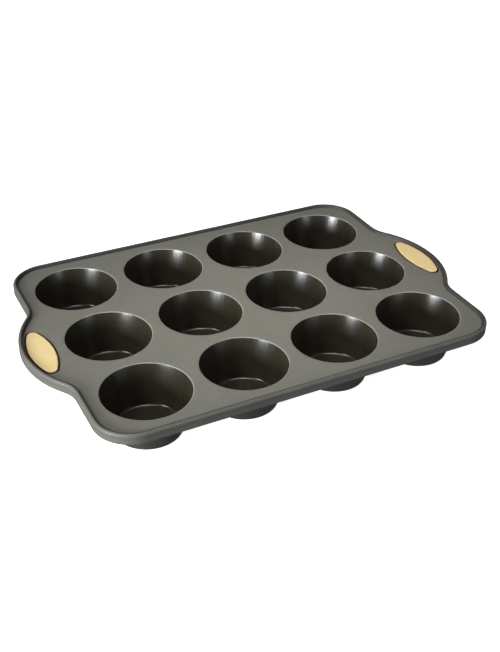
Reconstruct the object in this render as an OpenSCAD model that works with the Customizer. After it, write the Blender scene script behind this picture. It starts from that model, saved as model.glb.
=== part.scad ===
// Twelve-cup silicone muffin tray with a steel wire cast into its rim and an oval grip pad
// in each handle. +X runs to the right handle, +Y to the back, +Z up. The origin is on the
// surface that the tray stands on, below the middle of the tray.

/* [Cups] */
// Distance between neighbouring cup centres
cup_pitch = 82; // [80:0.5:84]
// Diameter where the inner wall would meet the top of the deck
mouth_d = 71; // [66:0.5:72]
// Diameter where the inner wall would meet the cup's floor
floor_d = 51.8; // [44:0.2:54]
// Height of the top of the deck above the surface that the cups stand on
deck_z = 36; // [30:0.5:45]
// Thickness of the cup's wall
wall_t = 1.8; // [1.4:0.1:2.2]
// Thickness of the cup's floor
floor_t = 2.2; // [1.6:0.1:3]
// Radius of the rounded lip at the mouth
lip_r = 1.5; // [1:0.1:1.8]
// Radius between the inner wall and the floor
inner_fillet_r = 2.5; // [1.5:0.1:4]
// Radius round the outside of the base
base_fillet_r = 3; // [2:0.1:5]

/* [Deck] */
// Thickness of the flat deck between the cups
deck_t = 2.4; // [2:0.1:3]
// Length of the tray between its straight ends, without the handles
body_l = 345.2; // [340:0.2:352]
// Width of the tray from front to back
body_w = 264; // [260:1:270]
// Radius of the four corners
corner_r = 31; // [20:1:36]

/* [Handles] */
// How far a handle stands out past the straight end
handle_reach = 21.8; // [20.5:0.1:24]
// Radius of the handle's outer arc
handle_r = 84; // [78:0.5:90]
// Radius of the hollow curve that joins a handle to the straight end
blend_r = 25; // [15:1:28]

/* [Rim] */
// Radius of the round bead that holds the wire
bead_r = 2; // [1.8:0.1:2.2]
// Height of the bead above the top of the deck
bead_rise = 2.6; // [1:0.1:3]
// Thickness of the skirt below the bead
skirt_t = 3.2; // [2.4:0.1:3.6]
// Depth of the skirt below the top of the deck
skirt_h = 6.5; // [6:0.1:9]
// Radius of the skirt's two lower edges
hem_r = 1.1; // [0.6:0.1:1.2]
// Depth of the shallow neck between the bead and the skirt's lower edge
neck_depth = 0.5; // [0.2:0.1:0.8]
// Diameter of the steel wire in the bead
wire_d = 2.5; // [2:0.1:2.8]

/* [Grip pads] */
// Width of the oval pad
pad_w = 20.6; // [18:0.1:22]
// Length of the oval pad
pad_l = 60.88; // [50:0.02:70]
// Distance from the outer edge of the pad to the outside of the handle
pad_margin = 5.5; // [5.4:0.1:6.5]
// Radius of the pad's narrow ends
pad_end_r = 5; // [4:0.5:8]
// Width of the groove between the pad and the deck
groove_w = 1; // [0.6:0.1:1.2]
// Depth of the groove
groove_h = 1.2; // [0.8:0.1:1.4]
// Height of the pad above the top of the deck
pad_rise = 0.6; // [0.2:0.1:1]
// Radius round the pad's upper edge
pad_edge_r = 1; // [0.6:0.1:1.2]

/* [Hidden] */

$fn = 96;
cols = 4;
rows = 3;
tray_colour = [0.46, 0.46, 0.41];
cavity_colour = [0.13, 0.12, 0.10];
pad_colour = [0.91, 0.82, 0.60];
wire_colour = [0.70, 0.71, 0.72];

// Cup walls lean out by this angle, and a wall point's radius follows its height
cup_depth = deck_z - floor_t;
lean = atan((mouth_d - floor_d) / 2 / cup_depth);
function inner_r(z) = floor_d / 2 + (z - floor_t) * tan(lean);
function outer_r(z) = inner_r(z) + wall_t / cos(lean);

// Centres of the circles that round the cup's profile
inner_fillet = [
    inner_r(floor_t + inner_fillet_r) - inner_fillet_r / cos(lean), floor_t + inner_fillet_r
];
base_fillet = [outer_r(base_fillet_r) - base_fillet_r / cos(lean), base_fillet_r];
lip = [inner_r(deck_z - lip_r) + lip_r / cos(lean), deck_z - lip_r];
collar_fillet_r = 1;
deck_under_z = deck_z - deck_t;
collar_fillet = [
    outer_r(deck_under_z - collar_fillet_r) + collar_fillet_r / cos(lean),
    deck_under_z - collar_fillet_r
];
collar_r = collar_fillet[0] + 0.2;

// Rim: the bead's circle crosses the top of the deck where the deck begins, and the wire
// runs along the bead's centre
bead_z = deck_z + bead_rise - bead_r;
bead_w = bead_r + sqrt(pow(bead_r, 2) - pow(bead_r - bead_rise, 2));
hem_z = deck_z - skirt_h;
neck_curve_r = 3.5;
neck_curve = [neck_depth - neck_curve_r, (hem_z + bead_z) / 2];
wire_clearance = 0.02;

// Handle arcs: the outer arc's centre and the hollow curve's centre. The two arcs meet on
// the line between their centres.
side_x = body_l / 2;
side_y = body_w / 2;
handle_x = side_x + handle_reach - handle_r;
blend_x = side_x + blend_r;
blend_y = sqrt(pow(handle_r + blend_r, 2) - pow(blend_x - handle_x, 2));
handle_centre = [handle_x, 0];
blend_centre = [blend_x, blend_y];

// Oval pad: a four-arc oval. A side arc meets an end arc on the line through their centres.
pad_a = pad_w / 2;
pad_b = pad_l / 2;
pad_x = side_x + handle_reach - pad_margin - pad_a;
pad_side_r = (pow(pad_a, 2) + pow(pad_b - pad_end_r, 2) - pow(pad_end_r, 2))
    / (2 * (pad_a - pad_end_r));
pad_side_centre = [pad_a - pad_side_r, 0];
pad_end_centre = [0, pad_b - pad_end_r];
pad_stem_inset = 2;
pad_flange_t = 1.2;
pad_flange_edge_r = 0.6;
ledge_z = deck_z - groove_h;
past = 1;

// ---- Cups ----

module right_of_axis() {
    intersection() {
        children();
        translate([0, -past]) square([cup_pitch, deck_z + 2 * past]);
    }
}

// Outer half-profile of a cup, up to the top of the deck, solid inside
module cup_outer_profile() {
    difference() {
        union() {
            right_of_axis() translate(base_fillet) circle(r = base_fillet_r);
            polygon([
                [0, 0],
                [base_fillet[0], 0],
                base_fillet + base_fillet_r * [cos(lean), -sin(lean)],
                collar_fillet + collar_fillet_r * [-cos(lean), sin(lean)],
                [collar_fillet[0], deck_under_z],
                [collar_r, deck_under_z],
                [collar_r, deck_z],
                [0, deck_z]
            ]);
        }
        translate(collar_fillet) circle(r = collar_fillet_r);
    }
}

// Half-profile of the space inside a cup, running past the top of the deck
module cavity_profile() {
    difference() {
        union() {
            right_of_axis() translate(inner_fillet) circle(r = inner_fillet_r);
            polygon([
                [0, floor_t],
                [inner_fillet[0], floor_t],
                inner_fillet + inner_fillet_r * [cos(lean), -sin(lean)],
                lip + lip_r * [-cos(lean), sin(lean)],
                [lip[0], deck_z],
                [lip[0], deck_z + past],
                [0, deck_z + past]
            ]);
        }
        translate(lip) circle(r = lip_r);
    }
}

module cup(col, row) {
    color(cavity_colour)
        translate([(col - (cols + 1) / 2) * cup_pitch, (row - (rows + 1) / 2) * cup_pitch, 0])
            rotate_extrude()
                difference() {
                    cup_outer_profile();
                    cavity_profile();
                }
}

module cup_a1() { cup(1, 1); }
module cup_a2() { cup(2, 1); }
module cup_a3() { cup(3, 1); }
module cup_a4() { cup(4, 1); }
module cup_b1() { cup(1, 2); }
module cup_b2() { cup(2, 2); }
module cup_b3() { cup(3, 2); }
module cup_b4() { cup(4, 2); }
module cup_c1() { cup(1, 3); }
module cup_c2() { cup(2, 3); }
module cup_c3() { cup(3, 3); }
module cup_c4() { cup(4, 3); }

// ---- Outline of the tray ----

// Wedge that the right handle's outer arc fills, and the one that a hollow curve fills
module handle_wedge() {
    far_x = side_x + handle_reach + past;
    polygon([
        handle_centre,
        [blend_x, -blend_y],
        [far_x, -blend_y],
        [far_x, blend_y],
        blend_centre
    ]);
}

module blend_wedge() {
    polygon([handle_centre, blend_centre, [handle_x, blend_y]]);
}

// Plan of the tray, set in from its outline
module tray_plan(inset) {
    square([2 * handle_x, 2 * blend_y], center = true);
    square([body_l - 2 * corner_r, body_w - 2 * inset], center = true);
    for (y = [-1, 1])
        translate([0, y * (side_y - corner_r + blend_y) / 2])
            square([body_l - 2 * inset, side_y - corner_r - blend_y], center = true);
    for (x = [-1, 1], y = [-1, 1])
        translate([x * (side_x - corner_r), y * (side_y - corner_r)])
            circle(r = corner_r - inset);
    for (side = [0, 1])
        mirror([side, 0]) {
            intersection() {
                translate(handle_centre) circle(r = handle_r - inset);
                handle_wedge();
            }
            for (end = [0, 1])
                mirror([0, end])
                    difference() {
                        blend_wedge();
                        translate(blend_centre) circle(r = blend_r + inset);
                    }
        }
}

// ---- Sections carried round the rim ----
// A section's x is its distance in from the outline, and its y is its height.

module straight_run(start, heading, length) {
    translate(start)
        rotate([0, 0, heading])
            rotate([90, 0, 90])
                linear_extrude(length) children();
}

module quarter_bend(centre, heading) {
    translate(centre)
        rotate([0, 0, heading - 90])
            rotate_extrude(angle = 90)
                translate([corner_r, 0]) mirror([1, 0]) children();
}

module handle_bend() {
    intersection() {
        translate(handle_centre)
            rotate_extrude()
                translate([handle_r, 0]) mirror([1, 0]) children();
        linear_extrude(deck_z + bead_rise + past) handle_wedge();
    }
}

module hollow_bend() {
    intersection() {
        translate(blend_centre)
            rotate_extrude()
                translate([blend_r, 0]) children();
        linear_extrude(deck_z + bead_rise + past) blend_wedge();
    }
}

module round_the_rim() {
    end_l = side_y - corner_r - blend_y;
    for (turn = [0, 180])
        rotate([0, 0, turn]) {
            straight_run([corner_r - side_x, -side_y, 0], 0, body_l - 2 * corner_r) children();
            quarter_bend([side_x - corner_r, corner_r - side_y, 0], 0) children();
            straight_run([side_x, corner_r - side_y, 0], 90, end_l) children();
            mirror([0, 1, 0]) hollow_bend() children();
            handle_bend() children();
            hollow_bend() children();
            straight_run([side_x, blend_y, 0], 90, end_l) children();
            quarter_bend([side_x - corner_r, side_y - corner_r, 0], 90) children();
        }
}

// Section of the rim: a round bead that meets the deck, a shallow neck, and a skirt with
// rounded lower edges
module rim_section() {
    difference() {
        union() {
            translate([0, hem_z + hem_r]) square([skirt_t, deck_under_z - hem_z - hem_r]);
            translate([hem_r, hem_z]) square([skirt_t - 2 * hem_r, hem_r]);
            for (u = [hem_r, skirt_t - hem_r])
                translate([u, hem_z + hem_r])
                    intersection() {
                        circle(r = hem_r);
                        translate([-hem_r, -hem_r]) square([2 * hem_r, hem_r]);
                    }
            translate([0, deck_under_z]) square([bead_w, bead_z - deck_under_z]);
            intersection() {
                translate([bead_r, bead_z]) circle(r = bead_r);
                translate([0, bead_z]) square([bead_w, 2 * bead_r]);
            }
        }
        translate(neck_curve) circle(r = neck_curve_r);
    }
}

module rim() {
    color(tray_colour)
        round_the_rim()
            difference() {
                rim_section();
                translate([bead_r, bead_z]) circle(d = wire_d + 2 * wire_clearance);
            }
}

// One closed loop of round wire
module rim_wire() {
    color(wire_colour)
        round_the_rim()
            translate([bead_r, bead_z]) circle(d = wire_d);
}

// ---- Grip pads ----

// Wedges that the right side arc and the back end arc of the oval fill. Their slanting
// edges are the lines through the centres of the arcs.
module pad_side_wedge() {
    far = [-pad_side_centre[0], 2 * pad_end_centre[1]];
    polygon([-pad_end_centre, [far[0], -far[1]], far, pad_end_centre]);
}

module pad_end_wedge() {
    far = [-pad_side_centre[0], 2 * pad_end_centre[1]];
    polygon([pad_end_centre, far, [-far[0], far[1]]]);
}

// Plan of the pad's oval, grown by an amount or shrunk by a negative one
module oval_plan(grow) {
    for (turn = [0, 180])
        rotate([0, 0, turn]) {
            intersection() {
                translate(pad_side_centre) circle(r = pad_side_r + grow);
                pad_side_wedge();
            }
            translate(pad_end_centre) circle(r = pad_end_r + grow);
        }
}

// Carries a section round the oval; its x is the distance in from the oval
module round_the_oval() {
    for (turn = [0, 180])
        rotate([0, 0, turn]) {
            intersection() {
                translate(pad_side_centre)
                    rotate_extrude()
                        translate([pad_side_r, 0]) mirror([1, 0]) children();
                linear_extrude(groove_h + pad_rise + past) pad_side_wedge();
            }
            intersection() {
                translate(pad_end_centre)
                    rotate_extrude()
                        translate([pad_end_r, 0]) mirror([1, 0]) children();
                linear_extrude(groove_h + pad_rise + past) pad_end_wedge();
            }
        }
}

// Section of an oval plate's edge with one rounded corner, on its upper side
module edge_section(height, edge_r) {
    square([edge_r, height - edge_r]);
    translate([edge_r, height - edge_r])
        intersection() {
            circle(r = edge_r);
            translate([-edge_r, 0]) square(edge_r);
        }
}

// Oval plate with its upper edge rounded
module oval_plate(height, edge_r) {
    linear_extrude(height) oval_plan(-edge_r);
    round_the_oval() edge_section(height, edge_r);
}

// The pad lies in the deck's recess, and a flange below the deck locks it in
module grip_pad() {
    color(pad_colour)
        translate([pad_x, 0, 0]) {
            translate([0, 0, ledge_z])
                oval_plate(groove_h + pad_rise, pad_edge_r);
            translate([0, 0, deck_under_z])
                linear_extrude(ledge_z - deck_under_z) oval_plan(-pad_stem_inset);
            translate([0, 0, deck_under_z])
                mirror([0, 0, 1]) oval_plate(pad_flange_t, pad_flange_edge_r);
        }
}

module grip_right() { grip_pad(); }

module grip_left() { mirror([1, 0, 0]) grip_pad(); }

// ---- Deck ----

module deck() {
    color(tray_colour)
        difference() {
            translate([0, 0, deck_under_z]) linear_extrude(deck_t) tray_plan(bead_w);
            for (col = [1:cols], row = [1:rows])
                translate([
                    (col - (cols + 1) / 2) * cup_pitch,
                    (row - (rows + 1) / 2) * cup_pitch,
                    deck_under_z - past
                ])
                    cylinder(r = collar_r, h = deck_t + 2 * past);
            for (side = [-1, 1])
                translate([side * pad_x, 0, 0]) {
                    translate([0, 0, ledge_z])
                        linear_extrude(groove_h + past) oval_plan(groove_w);
                    translate([0, 0, deck_under_z - past])
                        linear_extrude(deck_t + past) oval_plan(-pad_stem_inset);
                }
        }
}

deck();
rim();
rim_wire();
grip_left();
grip_right();
cup_a1();
cup_a2();
cup_a3();
cup_a4();
cup_b1();
cup_b2();
cup_b3();
cup_b4();
cup_c1();
cup_c2();
cup_c3();
cup_c4();
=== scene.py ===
"""Looks of a twelve-cup silicone muffin tray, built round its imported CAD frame.

The tray body, the twelve cups and the two grip pads are swept and turned meshes that follow
the CAD's sections with softened edges. The wire in the rim is the CAD's own piece with a new
material. Lengths inside the builders are in millimetres, and every mesh is scaled to metres
when it is made. Lights, the camera and the materials' textures are in metres.
"""

import math

import bpy
import numpy as np
from mathutils import Matrix, Vector
from mathutils.geometry import delaunay_2d_cdt


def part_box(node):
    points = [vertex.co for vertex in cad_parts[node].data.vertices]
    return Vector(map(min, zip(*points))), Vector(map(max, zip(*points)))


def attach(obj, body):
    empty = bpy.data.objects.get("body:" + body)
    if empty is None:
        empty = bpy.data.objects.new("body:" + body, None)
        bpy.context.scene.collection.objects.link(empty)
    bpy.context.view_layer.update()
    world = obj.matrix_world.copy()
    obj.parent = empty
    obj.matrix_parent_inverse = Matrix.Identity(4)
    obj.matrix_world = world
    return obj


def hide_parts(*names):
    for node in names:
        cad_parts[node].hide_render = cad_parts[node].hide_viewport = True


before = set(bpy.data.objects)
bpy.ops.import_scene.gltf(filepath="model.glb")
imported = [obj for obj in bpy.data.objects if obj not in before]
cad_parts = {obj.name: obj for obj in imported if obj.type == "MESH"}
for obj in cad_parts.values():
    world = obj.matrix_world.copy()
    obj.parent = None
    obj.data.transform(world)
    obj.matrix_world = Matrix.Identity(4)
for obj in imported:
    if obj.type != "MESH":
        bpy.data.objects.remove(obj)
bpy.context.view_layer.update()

MM = 0.001

# ---- Sizes of the tray, in millimetres ----

SIDE_X, SIDE_Y = 172.6, 132.0        # half length and half width of the body
CORNER_R = 31.0
HANDLE_REACH, HANDLE_R = 21.8, 84.0
BLEND_R = 25.0
DECK_Z, DECK_UNDER_Z = 36.0, 33.6
HEM_Z, HEM_R = 29.5, 1.1
SKIRT_T = 3.2
NECK_DEPTH = 0.12
CREST_U, CREST_Z = 2.2, 38.59        # highest line of the rim: inset and height
SHOULDER_Z = 36.6                    # where the rim's rounded shoulder begins outside
INNER_WALL_U = 3.9                   # inset of the steep wall between the crest and the deck
CREST_DROP = 1.5                     # height of the rounding on the crest's inner side
BEAD_FILLET_R = 0.35                 # soft crease where that wall meets the deck
UNDER_FILLET_R = 1.2                 # inside corner between the skirt and the deck
UNDERSIDE_INSET = SKIRT_T + 3.0      # where the deck's flat underside begins

FLOOR_T, WALL_T = 2.2, 1.8
FLOOR_R, MOUTH_R = 25.9, 35.5
INNER_FILLET_R, BASE_FILLET_R = 2.1, 3.0
LIP_R, COLLAR_FILLET_R = 0.7, 1.0
WALL_HOLLOW = 0.05                   # how far the wall bows in before it flares to the lip
COLLAR_LAND = 0.2                    # flat ring of deck that belongs to a cup, past its fillet

PAD_A, PAD_B, PAD_END_R = 10.3, 30.44, 5.0
PAD_X = SIDE_X + HANDLE_REACH - 5.5 - PAD_A
PAD_EDGE_R, PAD_RISE = 1.0, 0.6
PAD_SHADE_RISE = 0.35                # the rounding carries painted shade, dark and brownish, up to this height above the deck
PAD_FLAT_INSET = 2.2                 # where a pad's flat top and bottom begin
GROOVE_W, GROOVE_H = 0.9, 1.2
GROOVE_LIP_R = 0.2
STEM_INSET = 2.0
FLANGE_T, FLANGE_EDGE_R = 1.2, 0.6

CUP_SEGMENTS = 144
ALONG_STEP = 2.5                     # spacing of the sections swept round the rim
OVAL_STEP = 1.5                      # spacing of the sections swept round a pad
GRID_PITCH, GRID_GAP = 7.0, 1.6      # points inside the deck, and their least gap to its edges
SHARP_DEG = 40                       # edges that turn by more than this are shaded sharp

# Material slots of the faces: of the body, of a cup and of a pad
DECK_SLOT, CAVITY_SLOT = 0, 1
RIM_SHADE_SLOT, CREASE_SHADE_SLOT = 2, 3
OUTSIDE_SLOT, LIP_HIGHLIGHT_SLOT = 2, 3
PAD_TOP_SLOT, PAD_SHADE_SLOT = 0, 1


# ---- Plan curves ----

def arc(centre, radius, start, end, step):
    """Points of an arc and their outward directions, the end point left out."""
    sweep = math.radians(end - start)
    count = max(2, math.ceil(abs(sweep) * radius / step))
    angles = math.radians(start) + sweep * np.arange(count) / count
    out = np.stack([np.cos(angles), np.sin(angles)], 1)
    return np.array(centre) + radius * out, out


def straight(start, end, step):
    """Points of a straight line, the end point left out."""
    start, end = np.array(start, float), np.array(end, float)
    count = max(1, math.ceil(np.linalg.norm(end - start) / step))
    return start + (end - start) * (np.arange(count) / count)[:, None]


def tray_outline(step):
    """Points round the tray, anticlockwise from its front edge, and the inward directions."""
    handle_x = SIDE_X + HANDLE_REACH - HANDLE_R
    blend_x = SIDE_X + BLEND_R
    blend_y = math.sqrt((HANDLE_R + BLEND_R) ** 2 - (blend_x - handle_x) ** 2)
    meet = math.degrees(math.atan2(blend_y, blend_x - handle_x))
    corner = (SIDE_X - CORNER_R, SIDE_Y - CORNER_R)
    points, inward = [], []

    def add_line(start, end, direction):
        line = straight(start, end, step)
        points.append(line)
        inward.append(np.tile(direction, (len(line), 1)))

    def add_arc(centre, radius, start, end, side):
        line, out = arc(centre, radius, start, end, step)
        points.append(line)
        inward.append(side * out)

    add_line((-corner[0], -SIDE_Y), (corner[0], -SIDE_Y), (0.0, 1.0))
    add_arc((corner[0], -corner[1]), CORNER_R, -90, 0, -1)
    add_line((SIDE_X, -corner[1]), (SIDE_X, -blend_y), (-1.0, 0.0))
    add_arc((blend_x, -blend_y), BLEND_R, 180, 180 - meet, 1)
    add_arc((handle_x, 0), HANDLE_R, -meet, meet, -1)
    add_arc((blend_x, blend_y), BLEND_R, 180 + meet, 180, 1)
    add_line((SIDE_X, blend_y), (SIDE_X, corner[1]), (-1.0, 0.0))
    add_arc(corner, CORNER_R, 0, 90, -1)
    half_p, half_n = np.concatenate(points), np.concatenate(inward)
    return np.concatenate([half_p, -half_p]), np.concatenate([half_n, -half_n])


def oval_outline(step):
    """Points round a grip pad's oval, anticlockwise, and the inward directions."""
    side_r = (PAD_A ** 2 + (PAD_B - PAD_END_R) ** 2 - PAD_END_R ** 2) / (2 * (PAD_A - PAD_END_R))
    end_y = PAD_B - PAD_END_R
    meet = math.degrees(math.atan2(end_y, side_r - PAD_A))
    side_p, side_n = arc((PAD_A - side_r, 0), side_r, -meet, meet, step)
    end_p, end_n = arc((0, end_y), PAD_END_R, meet, 180 - meet, step * 0.5)
    half_p, half_n = np.concatenate([side_p, end_p]), -np.concatenate([side_n, end_n])
    return np.concatenate([half_p, -half_p]), np.concatenate([half_n, -half_n])


def inside(polygon, points):
    """Whether each point lies inside a closed polygon."""
    x, y = points[:, 0][:, None], points[:, 1][:, None]
    x0, y0 = polygon[:, 0], polygon[:, 1]
    x1, y1 = np.roll(x0, -1), np.roll(y0, -1)
    spans = (y0 > y) != (y1 > y)
    rise = np.where(y1 == y0, 1e-12, y1 - y0)
    crossing = x < (x1 - x0) * (y - y0) / rise + x0
    return (spans & crossing).sum(1) % 2 == 1


# ---- Section curves ----

def section_arc(centre, radius, start, end, count):
    """Points of an arc in a section, both ends included."""
    angles = np.radians(np.linspace(start, end, count))
    return [(centre[0] + radius * math.cos(a), centre[1] + radius * math.sin(a)) for a in angles]


def rim_section():
    """Section of the rim from the deck's underside round to its top: (inset, height)."""
    line = [(UNDERSIDE_INSET, DECK_UNDER_Z)]
    line += section_arc((SKIRT_T + UNDER_FILLET_R, DECK_UNDER_Z - UNDER_FILLET_R),
                        UNDER_FILLET_R, 90, 180, 6)
    line += section_arc((SKIRT_T - HEM_R, HEM_Z + HEM_R), HEM_R, 0, -90, 7)
    line += section_arc((HEM_R, HEM_Z + HEM_R), HEM_R, -90, -180, 7)
    neck_low, neck_high = HEM_Z + HEM_R + 0.1, SHOULDER_Z - 0.1
    for k in range(1, 16):
        t = k / 16
        line.append((NECK_DEPTH * math.sin(math.pi * t) ** 2, neck_low + t * (neck_high - neck_low)))
    for k in range(17):
        a = math.radians(90 * k / 16)
        line.append((CREST_U * (1 - math.cos(a)),
                     SHOULDER_Z + (CREST_Z - SHOULDER_Z) * math.sin(a)))
    for k in range(1, 10):
        a = math.radians(90 * k / 9)
        line.append((CREST_U + (INNER_WALL_U - CREST_U) * math.sin(a),
                     CREST_Z - CREST_DROP * (1 - math.cos(a))))
    line += section_arc((INNER_WALL_U + BEAD_FILLET_R, DECK_Z + BEAD_FILLET_R),
                        BEAD_FILLET_R, 180, 270, 7)
    return line


def cup_curves():
    """Centres of the circles that round a cup's wall, and the wall's lean in degrees."""
    slope = (MOUTH_R - FLOOR_R) / (DECK_Z - FLOOR_T)
    lean = math.atan(slope)
    wall = WALL_T / math.cos(lean)

    def inner(z):
        return FLOOR_R + (z - FLOOR_T) * slope

    def beside(z, radius, side, offset=0.0):
        return inner(z) + offset + side * radius / math.cos(lean), z

    return {
        "lean": math.degrees(lean),
        "lip": beside(DECK_Z - LIP_R, LIP_R, 1),
        "inner": beside(FLOOR_T + INNER_FILLET_R, INNER_FILLET_R, -1),
        "base": beside(BASE_FILLET_R, BASE_FILLET_R, -1, wall),
        "collar": beside(DECK_UNDER_Z - COLLAR_FILLET_R, COLLAR_FILLET_R, 1, wall),
    }


CURVES = cup_curves()
COLLAR_R = CURVES["collar"][0] + COLLAR_LAND


# ---- Meshes ----

class Shell:
    """Collects rings of points and the faces between them, then makes one mesh of them."""

    def __init__(self):
        self.points, self.faces, self.marks = [], [], []
        self.crisp = set()

    def ring(self, plan, z):
        """Adds a closed ring of points at one height, or at a height for each point."""
        first = len(self.points)
        heights = np.broadcast_to(z, len(plan))
        self.points += [(p[0], p[1], h) for p, h in zip(plan, heights)]
        return list(range(first, first + len(plan)))

    def band(self, low, high, mark):
        """Joins two rings with quads; the faces look outwards from low to high going up."""
        n = len(low)
        for k in range(n):
            j = (k + 1) % n
            self.faces.append((low[k], low[j], high[j], high[k]))
            self.marks.append(mark)

    def keep_crisp(self, ring):
        """Stops smooth shading at a ring, so that the flat beside it stays flat."""
        self.crisp |= {tuple(sorted(pair)) for pair in zip(ring, ring[1:] + ring[:1])}

    def cap(self, ring, point, up, mark):
        """Closes a ring with a fan of triangles to one point."""
        centre = len(self.points)
        self.points.append(point)
        n = len(ring)
        for k in range(n):
            a, b = ring[k], ring[(k + 1) % n]
            self.faces.append((a, b, centre) if up else (b, a, centre))
            self.marks.append(mark)

    def sheet(self, outer, holes, grid, up, mark):
        """Fills between rings at one height with triangles, with inner points on a grid."""
        z = self.points[outer[0]][2]
        loops = [outer, *holes]
        known = [i for loop in loops for i in loop]
        flat = np.array([self.points[i][:2] for i in known])
        edges, at = [], 0
        for loop in loops:
            edges += [(at + k, at + (k + 1) % len(loop)) for k in range(len(loop))]
            at += len(loop)
        outlines = [np.array([self.points[i][:2] for i in loop]) for loop in loops]
        extra = grid[inside(outlines[0], grid)]
        for hole in outlines[1:]:
            extra = extra[~inside(hole, extra)]
        gap = np.array([np.min(np.hypot(*(flat - p).T)) for p in extra])
        extra = extra[gap > GRID_GAP]
        coords = [Vector(p) for p in np.concatenate([flat, extra])]
        verts, _, tris, origin, _, _ = delaunay_2d_cdt(coords, edges, [], 1, 1e-6)
        first = len(self.points)
        self.points += [(p[0], p[1], z) for p in extra]
        index = known + list(range(first, first + len(extra)))
        centres = np.array([[sum(verts[i][c] for i in t) / 3 for c in (0, 1)] for t in tris])
        keep = inside(outlines[0], centres)
        for hole in outlines[1:]:
            keep &= ~inside(hole, centres)
        for t, kept in zip(tris, keep):
            if not kept:
                continue
            a, b, c = (index[origin[i][0]] for i in t)
            self.faces.append((a, b, c) if up else (c, b, a))
            self.marks.append(mark)

    def make(self, name, materials, origin=(0, 0, 0)):
        """Makes the object, smooth apart from its sharp edges. The origin is in metres."""
        mesh = bpy.data.meshes.new(name)
        points = (np.array(self.points) * MM - np.array(origin)).tolist()
        mesh.from_pydata(points, [], self.faces)
        for material in materials:
            mesh.materials.append(material)
        mesh.polygons.foreach_set("material_index", self.marks)
        mesh.polygons.foreach_set("use_smooth", [True] * len(mesh.polygons))
        mesh.set_sharp_from_angle(angle=math.radians(SHARP_DEG))
        for edge in mesh.edges:
            if tuple(sorted(edge.vertices)) in self.crisp:
                edge.use_edge_sharp = True
        mesh.validate()
        mesh.update()
        piece = bpy.data.objects.new(name, mesh)
        piece.location = origin
        bpy.context.scene.collection.objects.link(piece)
        return piece


def hex_grid(pitch):
    """Points of a triangular grid over the tray's plan."""
    row_h = pitch * math.sqrt(3) / 2
    rows = int(SIDE_Y / row_h) + 1
    cols = int((SIDE_X + HANDLE_REACH) / pitch) + 1
    return np.array([((c + 0.5 * (r % 2)) * pitch, r * row_h)
                     for r in range(-rows, rows + 1) for c in range(-cols, cols + 1)])


def circle_plan(centre, radius):
    """Points of a circle, anticlockwise."""
    angles = 2 * math.pi * np.arange(CUP_SEGMENTS) / CUP_SEGMENTS
    return np.array(centre) + radius * np.stack([np.cos(angles), np.sin(angles)], 1)


def tray_body(cup_centres, materials):
    """Deck and rim in one closed shell, open at the cups and recessed round the pads."""
    shell = Shell()
    plan, inward = tray_outline(ALONG_STEP)
    section = rim_section()
    rings = [shell.ring(plan + u * inward, z) for u, z in section]
    # The rim's faces take a darker copy of the deck silicone, painted shade on its sides; the
    # crest's inner side down to the deck takes a darker one still, painted shade in the crease.
    for (u, z), low, high in zip(section, rings, rings[1:]):
        in_crease_shade = z > DECK_Z and u > CREST_U - 0.01
        shell.band(low, high, CREASE_SHADE_SLOT if in_crease_shade else RIM_SHADE_SLOT)
    grid = hex_grid(GRID_PITCH)
    top_holes, under_holes = [], []
    for centre in cup_centres:
        top = shell.ring(circle_plan(centre, COLLAR_R), DECK_Z)
        under = shell.ring(circle_plan(centre, COLLAR_R), DECK_UNDER_Z)
        shell.band(top, under, DECK_SLOT)
        top_holes.append(top)
        under_holes.append(under)
    oval, oval_in = oval_outline(OVAL_STEP)
    edge = section_arc((GROOVE_W + GROOVE_LIP_R, DECK_Z - GROOVE_LIP_R), GROOVE_LIP_R, 90, 180, 5)
    recess = [*reversed(edge), (GROOVE_W, DECK_Z - GROOVE_H), (-STEM_INSET, DECK_Z - GROOVE_H),
              (-STEM_INSET, DECK_UNDER_Z)]
    for side in (-1, 1):
        centre = np.array([side * PAD_X, 0])
        wells = [shell.ring(centre + oval - grow * oval_in, z) for grow, z in recess]
        for k, (low, high) in enumerate(zip(wells, wells[1:])):
            # The groove round the pad, below the top of its lip, takes the dark cup silicone:
            # painted shade in the groove.
            shell.band(low, high, CAVITY_SLOT if k > 1 else DECK_SLOT)
        shell.keep_crisp(wells[0])
        top_holes.append(wells[0])
        under_holes.append(wells[-1])
    shell.keep_crisp(rings[-1])
    shell.sheet(rings[-1], top_holes, grid, True, DECK_SLOT)
    shell.sheet(rings[0], under_holes, grid, False, DECK_SLOT)
    return shell.make("tray_body", materials)


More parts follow.
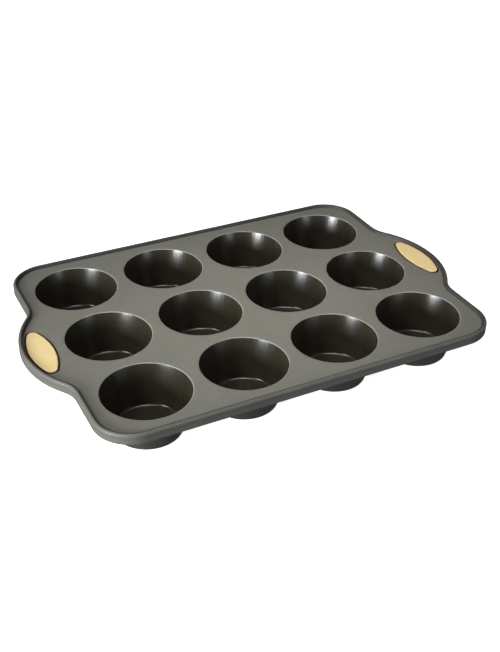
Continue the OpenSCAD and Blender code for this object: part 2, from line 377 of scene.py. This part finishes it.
def cup_section():
    """Section of a cup from the middle of its floor up, over the lip, and down outside to the
    middle of its base: (radius, height, material index)."""
    lean = CURVES["lean"]
    rows = [(r, FLOOR_T, CAVITY_SLOT) for r in (6, 12, 18, 22)]
    rows += [(r, z, CAVITY_SLOT)
             for r, z in section_arc(CURVES["inner"], INNER_FILLET_R, -90, -lean, 9)]
    wall_top = (CURVES["lip"][0] - LIP_R * math.cos(math.radians(lean)),
                CURVES["lip"][1] + LIP_R * math.sin(math.radians(lean)))
    foot = rows[-1]
    for t in np.linspace(0, 1, 22)[1:-1]:
        bow = 27 / 4 * t * t * (1 - t)       # 0 at both ends, 1 at two thirds of the height
        rows.append((foot[0] + t * (wall_top[0] - foot[0]) - WALL_HOLLOW * bow,
                     foot[1] + t * (wall_top[1] - foot[1]), CAVITY_SLOT))
    lip = section_arc(CURVES["lip"], LIP_R, 178 - lean, 90, 12)
    # The lip's rounding takes a lighter silicone, a painted highlight round the cup's mouth.
    rows += [(r, z, LIP_HIGHLIGHT_SLOT) for r, z in lip[:-1]]
    rows.append((*lip[-1], DECK_SLOT))
    rows.append((COLLAR_R, DECK_Z, DECK_SLOT))
    rows.append((COLLAR_R, DECK_UNDER_Z, OUTSIDE_SLOT))
    rows += [(r, z, OUTSIDE_SLOT)
             for r, z in section_arc(CURVES["collar"], COLLAR_FILLET_R, 90, 180 - lean, 6)]
    shoulder = rows[-1]
    base = section_arc(CURVES["base"], BASE_FILLET_R, -lean, -90, 9)
    for t in np.linspace(0, 1, 10)[1:-1]:
        rows.append((shoulder[0] + t * (base[0][0] - shoulder[0]),
                     shoulder[1] + t * (base[0][1] - shoulder[1]), OUTSIDE_SLOT))
    rows += [(r, z, OUTSIDE_SLOT) for r, z in base]
    rows += [(r, 0.0, OUTSIDE_SLOT) for r in (20, 14, 7)]
    return rows


def cup(name, centre, materials):
    """One cup, turned about its own axis, in a closed shell."""
    shell = Shell()
    section = cup_section()
    rings = [shell.ring(circle_plan(centre, r), z) for r, z, _ in section]
    for low, high, row in zip(rings, rings[1:], section):
        shell.band(high, low, row[2])
    shell.cap(rings[0], (*centre, FLOOR_T), True, CAVITY_SLOT)
    shell.cap(rings[-1], (*centre, 0.0), False, OUTSIDE_SLOT)
    return shell.make(name, materials, (centre[0] * MM, centre[1] * MM, 0))


def grip_pad(name, side, materials):
    """One pad: a rounded oval cap, a stem through the deck and a flange below it."""
    shell = Shell()
    oval, oval_in = oval_outline(OVAL_STEP)
    centre = np.array([side * PAD_X, 0])
    top_z, ledge_z = DECK_Z + PAD_RISE, DECK_Z - GROOVE_H
    section = [(0, ledge_z)]
    section += section_arc((PAD_EDGE_R, top_z - PAD_EDGE_R), PAD_EDGE_R, 180, 90, 9)
    section.append((PAD_FLAT_INSET, top_z))
    flange_z = DECK_UNDER_Z - FLANGE_T
    below = [(0, DECK_UNDER_Z), (0, flange_z + FLANGE_EDGE_R)]
    below += section_arc((FLANGE_EDGE_R, flange_z + FLANGE_EDGE_R), FLANGE_EDGE_R, 180, 270, 6)[1:]
    below.append((PAD_FLAT_INSET, flange_z))
    lower = list(reversed(below)) + [(STEM_INSET, DECK_UNDER_Z), (STEM_INSET, ledge_z)]
    rings = [shell.ring(centre + oval + u * oval_in, z) for u, z in lower + section]
    for (u, z), low, high in zip(lower + section, rings, rings[1:]):
        # The foot of the rounding near the deck takes a dark brownish silicone: painted shade of the
        # yellow pad.
        in_pad_shade = ledge_z <= z < DECK_Z + PAD_SHADE_RISE and u < PAD_EDGE_R
        shell.band(low, high, PAD_SHADE_SLOT if in_pad_shade else PAD_TOP_SLOT)
    for end, up, z in ((rings[-1], True, top_z), (rings[0], False, flange_z)):
        last = end
        around = np.array([shell.points[i][:2] for i in end]) - centre
        for share in (0.8, 0.55, 0.3):
            ring = shell.ring(centre + around * share, z)
            shell.band(*((last, ring) if up else (ring, last)), PAD_TOP_SLOT)
            last = ring
        shell.cap(last, (*centre, z), up, PAD_TOP_SLOT)
    return shell.make(name, materials)


# ---- Materials ----

class Nodes:
    """A material's node tree, with short calls to add and join nodes."""

    def __init__(self, name):
        self.material = bpy.data.materials.new(name)
        self.material.use_nodes = True
        self.tree = self.material.node_tree
        self.tree.nodes.clear()
        self.shader = self.add("ShaderNodeBsdfPrincipled")
        output = self.add("ShaderNodeOutputMaterial")
        self.join(self.shader.outputs["BSDF"], output.inputs["Surface"])
        self.place = self.add("ShaderNodeTexCoord").outputs["Object"]

    def add(self, kind, **settings):
        node = self.tree.nodes.new(kind)
        for key, value in settings.items():
            setattr(node, key, value)
        return node

    def join(self, source, target):
        self.tree.links.new(source, target)

    def noise(self, vector, scale, detail, rough):
        node = self.add("ShaderNodeTexNoise")
        node.inputs["Scale"].default_value = scale
        node.inputs["Detail"].default_value = detail
        node.inputs["Roughness"].default_value = rough
        self.join(vector, node.inputs["Vector"])
        return node.outputs["Fac"]

    def math(self, operation, a, b=0.0, c=0.0):
        node = self.add("ShaderNodeMath", operation=operation)
        for socket, value in zip(node.inputs, (a, b, c)):
            if isinstance(value, (int, float)):
                socket.default_value = value
            else:
                self.join(value, socket)
        return node.outputs[0]

    def spread(self, value, low, high, to_low, to_high):
        node = self.add("ShaderNodeMapRange")
        self.join(value, node.inputs["Value"])
        for key, number in (("From Min", low), ("From Max", high),
                            ("To Min", to_low), ("To Max", to_high)):
            node.inputs[key].default_value = number
        return node.outputs["Result"]

    def blend(self, fac, a, b):
        node = self.add("ShaderNodeMix", data_type="RGBA")
        self.join(fac, node.inputs["Factor"])
        for key, value in ((6, a), (7, b)):
            if isinstance(value, tuple):
                node.inputs[key].default_value = (*value, 1.0)
            else:
                self.join(value, node.inputs[key])
        return node.outputs[2]

    def bump(self, height, strength, distance, normal=None):
        node = self.add("ShaderNodeBump")
        node.inputs["Strength"].default_value = strength
        node.inputs["Distance"].default_value = distance
        self.join(height, node.inputs["Height"])
        if normal is not None:
            self.join(normal, node.inputs["Normal"])
        return node.outputs["Normal"]

    def finish(self, colour, rough, normal, **fixed):
        self.join(colour, self.shader.inputs["Base Color"])
        self.join(rough, self.shader.inputs["Roughness"])
        self.join(normal, self.shader.inputs["Normal"])
        for key, value in fixed.items():
            self.shader.inputs[key.replace("_", " ")].default_value = value
        return self.material


def matte_silicone():
    """Fine-textured, mottled grey-olive silicone of the deck."""
    n = Nodes("tray_silicone")
    cloud = n.noise(n.place, 22, 3, 0.55)
    mottle = n.noise(n.place, 140, 4, 0.6)
    grain = n.noise(n.place, 1100, 3, 0.6)
    base = n.blend(n.spread(cloud, 0.35, 0.65, 0.0, 1.0),
                   (0.142, 0.143, 0.121), (0.160, 0.157, 0.134))
    tint = n.spread(mottle, 0.3, 0.7, 0.0, 0.50)
    colour = n.blend(tint, base, (0.176, 0.174, 0.152))
    rough = n.spread(mottle, 0.3, 0.7, 0.58, 0.68)
    normal = n.bump(grain, 0.35, 0.00006)
    return n.finish(colour, rough, normal)


def painted_light_silicone(name, low, high):
    """Smoother silicone whose colour carries painted light: painted shade on the bead and skirt,
    deeper painted shade in the crease inside them, and a painted highlight on the cups' lips.
    """
    n = Nodes(name)
    cloud = n.noise(n.place, 30, 3, 0.55)
    grain = n.noise(n.place, 900, 3, 0.6)
    colour = n.blend(n.spread(cloud, 0.35, 0.65, 0.0, 1.0), low, high)
    rough = n.spread(cloud, 0.3, 0.7, 0.55, 0.63)
    normal = n.bump(grain, 0.2, 0.00005)
    return n.finish(colour, rough, normal)


def gloss_silicone(name, low, high, rough_low, rough_high):
    """Smooth dark silicone of the cups, with faint streaks on the walls and none on the floor."""
    n = Nodes(name)
    split = n.add("ShaderNodeSeparateXYZ")
    n.join(n.place, split.inputs[0])
    angle = n.math("ARCTAN2", split.outputs[1], split.outputs[0])
    around = n.add("ShaderNodeCombineXYZ")
    n.join(n.math("COSINE", angle), around.inputs[0])
    n.join(n.math("SINE", angle), around.inputs[1])
    n.join(n.math("MULTIPLY", split.outputs[2], 6.0), around.inputs[2])
    up_the_wall = n.spread(split.outputs[2], 0.004, 0.010, 0.0, 1.0)
    wave = n.math("SUBTRACT", n.noise(around.outputs[0], 9.0, 4, 0.6), 0.5)
    streak = n.math("MULTIPLY_ADD", wave, up_the_wall, 0.5)
    cloud = n.noise(n.place, 60, 3, 0.55)
    grain = n.noise(n.place, 900, 2, 0.5)
    colour = n.blend(n.spread(cloud, 0.35, 0.65, 0.0, 1.0), low, high)
    rough = n.spread(streak, 0.3, 0.7, rough_low, rough_high)
    fine = n.bump(grain, 0.12, 0.00005)
    normal = n.bump(streak, 0.25, 0.0006, fine)
    return n.finish(colour, rough, normal)


def grip_silicone(name, low, high):
    """Fine-grained silicone of the grip pads, with small darker flecks."""
    n = Nodes(name)
    cloud = n.noise(n.place, 70, 3, 0.55)
    grain = n.noise(n.place, 1300, 3, 0.6)
    fleck = n.noise(n.place, 420, 3, 0.6)
    base = n.blend(n.spread(cloud, 0.35, 0.65, 0.0, 1.0), low, high)
    colour = n.blend(n.spread(fleck, 0.35, 0.65, 0.0, 0.25), base, tuple(0.82 * c for c in low))
    rough = n.spread(grain, 0.3, 0.7, 0.46, 0.56)
    normal = n.bump(grain, 0.25, 0.00005)
    return n.finish(colour, rough, normal)


def drawn_steel():
    """Steel of the wire inside the rim, with fine drawing marks."""
    n = Nodes("frame_steel")
    marks = n.noise(n.place, 600, 4, 0.6)
    colour = n.blend(marks, (0.52, 0.53, 0.54), (0.66, 0.67, 0.68))
    rough = n.spread(marks, 0.3, 0.7, 0.26, 0.4)
    normal = n.bump(marks, 0.2, 0.00005)
    return n.finish(colour, rough, normal, Metallic=1.0)


TRAY = matte_silicone()
CAVITY = gloss_silicone("cavity_silicone", (0.0200, 0.0171, 0.0118), (0.0245, 0.0211, 0.0150),
                        0.23, 0.27)
# Bead and skirt: the deck's silicone made darker, painted shade on faces turned from the light.
RIM_SHADE = painted_light_silicone("painted_light_silicone", (0.088, 0.088, 0.075), (0.099, 0.098, 0.084))
# Inner side of the crest: near-black, painted shade in the crease beside the deck.
CREASE_SHADE = painted_light_silicone("crease_painted_shade", (0.026, 0.026, 0.023), (0.032, 0.031, 0.027))
# Cups' outsides: the dark silicone made lighter, painted bounce light from below on top of its own
# dark colour.
OUTSIDE_BOUNCE_LIT = gloss_silicone("underside_painted_bounce", (0.045, 0.045, 0.040), (0.055, 0.055, 0.049),
                         0.42, 0.50)
# Cups' lips: lighter than the deck, a painted highlight round each mouth.
LIP_HIGHLIGHT = painted_light_silicone("lip_painted_highlight", (0.205, 0.202, 0.178), (0.220, 0.216, 0.190))
GRIP = grip_silicone("grip_silicone", (0.81, 0.625, 0.295), (0.84, 0.66, 0.335))
# Foot of each pad's rounding: painted shade of the yellow pad.
GRIP_SHADE = grip_silicone("grip_painted_shade", (0.150, 0.088, 0.028), (0.190, 0.115, 0.038))
STEEL = drawn_steel()


# ---- Pieces ----

cup_names = [f"{row}{col}" for row in "abc" for col in (1, 2, 3, 4)]
cup_centres = []
for tag in cup_names:
    lowest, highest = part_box(f"cup_{tag}")
    middle = (lowest + highest) / 2 / MM
    cup_centres.append((round(middle.x, 3), round(middle.y, 3)))

body = tray_body(cup_centres, [TRAY, CAVITY, RIM_SHADE, CREASE_SHADE])
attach(body, "root")
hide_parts("deck", "rim")

for tag, middle in zip(cup_names, cup_centres):
    piece = cup(f"cavity_{tag}", middle, [TRAY, CAVITY, OUTSIDE_BOUNCE_LIT, LIP_HIGHLIGHT])
    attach(piece, "root")
    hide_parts(f"cup_{tag}")

for word, side in (("left", -1), ("right", 1)):
    piece = grip_pad(f"pad_{word}", side, [GRIP, GRIP_SHADE])
    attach(piece, "root")
    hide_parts(f"grip_{word}")

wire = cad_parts["rim_wire"]
wire.data.materials.clear()
wire.data.materials.append(STEEL)


# ---- Camera, floor and light ----

def camera():
    """Camera at the photograph's angle, given by its turn round a point on the tray."""
    azimuth, elevation, roll = (math.radians(a) for a in (-27.34, 33.295, 0.93))
    distance, target = 0.8095, Vector((-0.01305, -0.03691, 0.0356))
    back = Vector((math.sin(azimuth) * math.cos(elevation),
                   -math.cos(azimuth) * math.cos(elevation), math.sin(elevation)))
    level = (-back).cross(Vector((0, 0, 1))).normalized()
    above = level.cross(-back)
    right = math.cos(roll) * level + math.sin(roll) * above
    up = -math.sin(roll) * level + math.cos(roll) * above
    data = bpy.data.cameras.new("camera")
    data.lens, data.sensor_width = 54.05, 36.0
    data.clip_start, data.clip_end = 0.01, 50
    holder = bpy.data.objects.new("camera", data)
    holder.matrix_world = Matrix.Translation(target + distance * back) @ Matrix(
        (right, up, back)).transposed().to_4x4()
    bpy.context.scene.collection.objects.link(holder)
    bpy.context.scene.camera = holder


def hang_light(name, data, place, aim, power, tint):
    """Puts a light at a place, turned to face a point."""
    data.energy = power
    data.color = tint
    light = bpy.data.objects.new(name, data)
    light.location = place
    light.rotation_mode = "QUATERNION"
    light.rotation_quaternion = (Vector(aim) - Vector(place)).to_track_quat("-Z", "Y")
    bpy.context.scene.collection.objects.link(light)


def soft_box(name, place, aim, size, power, tint, spread_deg=180):
    """A rectangular soft light."""
    data = bpy.data.lights.new(name, "AREA")
    data.shape = "RECTANGLE"
    data.size, data.size_y = size
    data.spread = math.radians(spread_deg)
    hang_light(name, data, place, aim, power, tint)


def soft_spot(name, place, aim, radius, cone_deg, power, tint):
    """A round soft light whose beam fades evenly from its middle to the edge of its cone."""
    data = bpy.data.lights.new(name, "SPOT")
    data.shadow_soft_size = radius
    data.spot_size = math.radians(cone_deg)
    data.spot_blend = 1.0
    hang_light(name, data, place, aim, power, tint)


def floor():
    """Plain pale floor, self-lit so that it stays nearly white in soft shadow. Diffuse and
    glossy rays pass it by, so it throws no light up onto the tray."""
    mesh = bpy.data.meshes.new("floor")
    reach = 6.0                          # half its side, in metres
    mesh.from_pydata([(-reach, -reach, 0), (reach, -reach, 0), (reach, reach, 0),
                      (-reach, reach, 0)], [], [(0, 1, 2, 3)])
    n = Nodes("floor")
    cloud = n.noise(n.place, 3, 2, 0.5)
    colour = n.blend(cloud, (0.90, 0.90, 0.90), (0.91, 0.91, 0.91))
    normal = n.bump(cloud, 0.05, 0.0001)
    n.finish(colour, n.spread(cloud, 0, 1, 0.9, 0.92), normal)
    n.shader.inputs["Emission Color"].default_value = (1, 1, 1, 1)
    n.shader.inputs["Emission Strength"].default_value = 0.92
    mesh.materials.append(n.material)
    piece = bpy.data.objects.new("floor", mesh)
    piece.location.z = -0.0002
    piece.visible_glossy = False
    piece.visible_diffuse = False
    bpy.context.scene.collection.objects.link(piece)


def surroundings(tint, strength):
    """Even, dim light from all round."""
    world = bpy.data.worlds.new("surroundings")
    world.use_nodes = True
    sky = world.node_tree.nodes["Background"]
    sky.inputs["Color"].default_value = (*tint, 1.0)
    sky.inputs["Strength"].default_value = strength
    bpy.context.scene.world = world


camera()
floor()
soft_spot("key", (-0.80, -0.14, 0.64), (0.005, -0.02, 0.03), 0.20, 25.5, 50.0,
          (1.0, 0.97, 0.92))
soft_box("overhead", (0.02, -0.01, 0.80), (0.02, -0.01, 0.0), (0.40, 0.34), 0.258,
         (1.0, 0.99, 0.955), 38)
soft_box("left_box", (-0.97, -0.325, 0.20), (-0.12, -0.08, 0.04), (0.40, 0.26), 16.5,
         (0.93, 0.965, 1.0))
soft_box("front_right_box", (0.33, -0.73, 0.15), (0.0, 0.0, 0.04), (0.28, 0.16), 1.0,
         (0.90, 0.95, 1.0))
surroundings((0.95, 0.97, 1.0), 0.13)
bpy.context.scene.view_settings.view_transform = "Standard"
